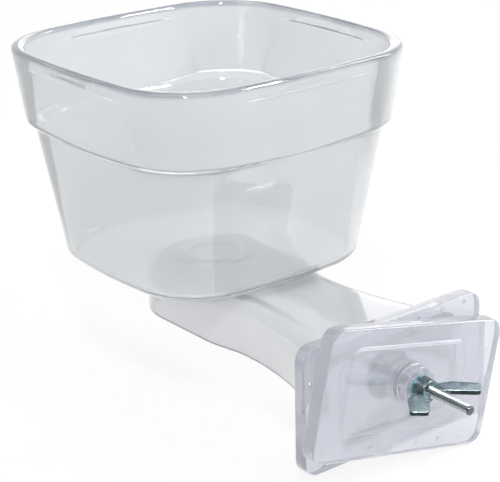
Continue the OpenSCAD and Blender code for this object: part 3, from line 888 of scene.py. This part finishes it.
def nut_shade(n):
    """Painted shade: the hub is painted dark, and the wings' edge faces darker than their flat faces, a
    painted dark reflection.
    """
    radius = from_axis(n)
    flank = n.add("ShaderNodeMath", operation="ABSOLUTE")
    n.link(n.axes("Normal"), "Z", flank, 0)
    cut = n.band(flank, "Value", 0.35, 0.6, 1.0, 0.0)
    start, end = HUB_BASE * MM, (HUB_BASE + 0.6) * MM
    beyond = n.band(radius, "Value", start, end, 0.0, 1.0)
    # Painted dark reflection on the wings' edge faces, down to 0.12 of the colour
    edge = n.band(n.product(cut, beyond), "Value", 0.0, 1.0, 1.0, 0.12)
    # and painted shade on the hub, down to 0.45 of it
    return n.product(edge, n.band(radius, "Value", start, end, 0.45, 1.0))


cup_mat = clear_plastic(
    "clear_cup", low=(0.755, 0.78, 0.795), high=(0.81, 0.83, 0.845), absorb=(0.72, 0.77, 0.80), density=5,
    rough=(0.01, 0.06), clear=0.79, ior=1.54, rim=CUP_Z + CUP_H)
bracket_mat = clear_plastic(
    "clear_bracket", low=(0.715, 0.725, 0.785), high=(0.77, 0.78, 0.835), absorb=(0.75, 0.76, 0.84),
    density=6, rough=(0.08, 0.20), clear=0.76, ior=1.40, scale=1.7,
    thin=((0.69, 0.70, 0.72), (0.74, 0.75, 0.77)))
bolt_mat = zinc("zinc_bolt", (0.66, 0.76, 0.78), (0.88, 0.95, 0.96), (0.08, 0.22), thread_shade)
nut_mat = zinc("zinc_nut", (0.23, 0.32, 0.34), (0.40, 0.50, 0.52), (0.20, 0.40), nut_shade)
washer_mat = zinc("zinc_washer", (0.09, 0.33, 0.38), (0.18, 0.48, 0.53), (0.2, 0.42))


# Pieces

def place(obj, mat, body, slot, *nodes):
    obj.data.materials.clear()
    obj.data.materials.append(mat)
    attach(obj, body)
    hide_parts(*nodes)
    return obj


place(make_cup(), cup_mat, "cup", "cup_plastic", "cup")
place(make_bracket(), bracket_mat, "bracket", "bracket_plastic", "arm_bracket")
place(make_outer_plate(), bracket_mat, "clamp_plate", "bracket_plastic", "clamp_plate")
place(make_bolt(), bolt_mat, "bracket", "zinc_plate", "bolt")
place(make_washer("large_washer", WASHER_R, WASHER_T, HEAD_SEAT),
      washer_mat, "bracket", "zinc_plate", "back_washer")
place(make_washer("small_washer", NUT_WASHER_R, NUT_WASHER_T, OUTER_FRONT - BOSS_H),
      washer_mat, "nut_washer", "zinc_plate", "nut_washer")
place(make_wing_nut(), nut_mat, "wing_nut", "zinc_plate", "wing_nut")


# Floor, world, lamps and camera

def seen_directly(tree):
    """1 for a ray from the camera, a mirror or through the plastic, 0 for the light that falls on things."""
    path = tree.nodes.new("ShaderNodeLightPath")
    first, second = tree.nodes.new("ShaderNodeMath"), tree.nodes.new("ShaderNodeMath")
    first.operation = second.operation = "MAXIMUM"
    tree.links.new(path.outputs["Is Camera Ray"], first.inputs[0])
    tree.links.new(path.outputs["Is Glossy Ray"], first.inputs[1])
    tree.links.new(first.outputs[0], second.inputs[0])
    tree.links.new(path.outputs["Is Transmission Ray"], second.inputs[1])
    return second


FLOOR_GAP, FLOOR_HALF, FLOOR_TONE, FLOOR_GLOW = 0.0005, 6, 0.92, 0.85


def make_floor(z):
    """White where it is seen, but for the share that keeps the object's shadow."""
    mesh = bpy.data.meshes.new("floor")
    corners = ((-1, -1), (1, -1), (1, 1), (-1, 1))
    mesh.from_pydata([(FLOOR_HALF * x, FLOOR_HALF * y, z) for x, y in corners], [], [(0, 1, 2, 3)])
    floor = bpy.data.objects.new("floor", mesh)
    scene.collection.objects.link(floor)
    n = Nodes("pale_floor")
    n.bsdf.inputs["Base Color"].default_value = (FLOOR_TONE, FLOOR_TONE, FLOOR_TONE, 1)
    n.bsdf.inputs["Roughness"].default_value = 0.9
    glow = n.add("ShaderNodeEmission", Strength=1.0)
    mix = n.add("ShaderNodeMixShader")
    share = n.add("ShaderNodeMath", operation="MULTIPLY")
    share.inputs[1].default_value = FLOOR_GLOW
    n.link(seen_directly(n.tree), 0, share, 0)
    for into, node in enumerate((share, n.bsdf, glow)):
        n.link(node, 0, mix, into)
    n.link(mix, 0, n.out, "Surface")
    floor.data.materials.append(n.mat)


# The direction to the camera, and where along it the studio begins to darken and is darkest
TOWARD_CAMERA, DARK_FROM, DARK_FULL = (-0.60, -0.72, -0.35), 0.05, 0.7


def make_world(light, front, front_through):
    """White behind and above. Low on the camera's side it falls to the share front in mirrored rays, as an
    open studio does, and to front_through in rays that come through the plastic."""
    world = bpy.data.worlds.new("studio")
    scene.world = world
    world.use_nodes = True
    tree = world.node_tree
    tree.nodes.clear()

    def new(kind):
        return tree.nodes.new("ShaderNode" + kind)

    out, seen, lit, mix = new("OutputWorld"), new("Background"), new("Background"), new("MixShader")
    coords, path, toward, pick = new("TexCoord"), new("LightPath"), new("VectorMath"), new("Mix")
    toward.operation = "DOT_PRODUCT"
    toward.inputs[1].default_value = TOWARD_CAMERA
    tree.links.new(coords.outputs["Generated"], toward.inputs[0])
    tree.links.new(path.outputs["Is Transmission Ray"], pick.inputs[0])
    for into, low in ((2, front), (3, front_through)):
        fall = new("MapRange")
        fall.interpolation_type = "SMOOTHSTEP"
        limits = (("From Min", DARK_FROM), ("From Max", DARK_FULL), ("To Min", 1.0), ("To Max", low))
        for key, value in limits:
            fall.inputs[key].default_value = value
        tree.links.new(toward.outputs["Value"], fall.inputs["Value"])
        tree.links.new(fall.outputs["Result"], pick.inputs[into])
    tree.links.new(pick.outputs[0], seen.inputs["Strength"])
    lit.inputs["Strength"].default_value = light
    seen.inputs["Color"].default_value = lit.inputs["Color"].default_value = (1, 1, 1, 1)
    for into, node in enumerate((seen_directly(tree), lit, seen)):
        tree.links.new(node.outputs[0], mix.inputs[into])
    tree.links.new(mix.outputs[0], out.inputs["Surface"])


def lamp(name, place_mm, aim_mm, size, power, size_y=None):
    data = bpy.data.lights.new(name, "AREA")
    data.shape = "RECTANGLE"
    data.size, data.size_y = size, size_y or size
    data.energy = power
    obj = bpy.data.objects.new(name, data)
    scene.collection.objects.link(obj)
    at, aim = Vector(place_mm) * MM, Vector(aim_mm) * MM
    obj.location = at
    obj.rotation_euler = (aim - at).to_track_quat("-Z", "Y").to_euler()
    return obj


make_floor(BOUNDS_AT_LOAD[0][2] - FLOOR_GAP)
make_world(light=0.55, front=0.06, front_through=0.75)
MIDDLE = (0, 80, 40)
lamp("key", (-620, -640, 1150), MIDDLE, 0.14, 10)
lamp("front", (-760, -770, 560), MIDDLE, 0.07, 3)
lamp("right", (700, -950, 620), MIDDLE, 0.12, 8)
lamp("back", (766, 924, 508), (0, 40, 16), 0.62, 1.3)
lamp("side", (1100, -350, 800), MIDDLE, 0.25, 6, 0.7)


# The camera solved from the photograph's outlines: its focal length in pixels, its place in millimetres, the
# way it looks, the level way to its right, and its roll in radians
IMAGE_W, FOCAL_PX, SENSOR = 500, 1673.913, 36
CAMERA_AT, CAMERA_LOOK = (-383.5, -402.3, 262.5), (0.57909, 0.73482, -0.35310)
CAMERA_LEVEL, CAMERA_ROLL = (0.78541, -0.61897, 0), -0.02077


def make_camera():
    data = bpy.data.cameras.new("camera")
    data.sensor_width = SENSOR
    data.lens = FOCAL_PX * SENSOR / IMAGE_W
    data.clip_start = 0.01
    camera = bpy.data.objects.new("camera", data)
    scene.collection.objects.link(camera)
    forward = Vector(CAMERA_LOOK).normalized()
    level = Vector(CAMERA_LEVEL).normalized()
    over = level.cross(forward)
    right = level * math.cos(CAMERA_ROLL) + over * math.sin(CAMERA_ROLL)
    up = over * math.cos(CAMERA_ROLL) - level * math.sin(CAMERA_ROLL)
    turn = Matrix((right, up, -forward)).transposed().to_4x4()
    camera.matrix_world = Matrix.Translation(Vector(CAMERA_AT) * MM) @ turn
    scene.camera = camera


make_camera()
scene.view_settings.view_transform = "Standard"
# Rays cross up to a dozen walls of clear plastic before they reach the floor
scene.cycles.max_bounces = scene.cycles.transmission_bounces = 48
scene.cycles.glossy_bounces = 24
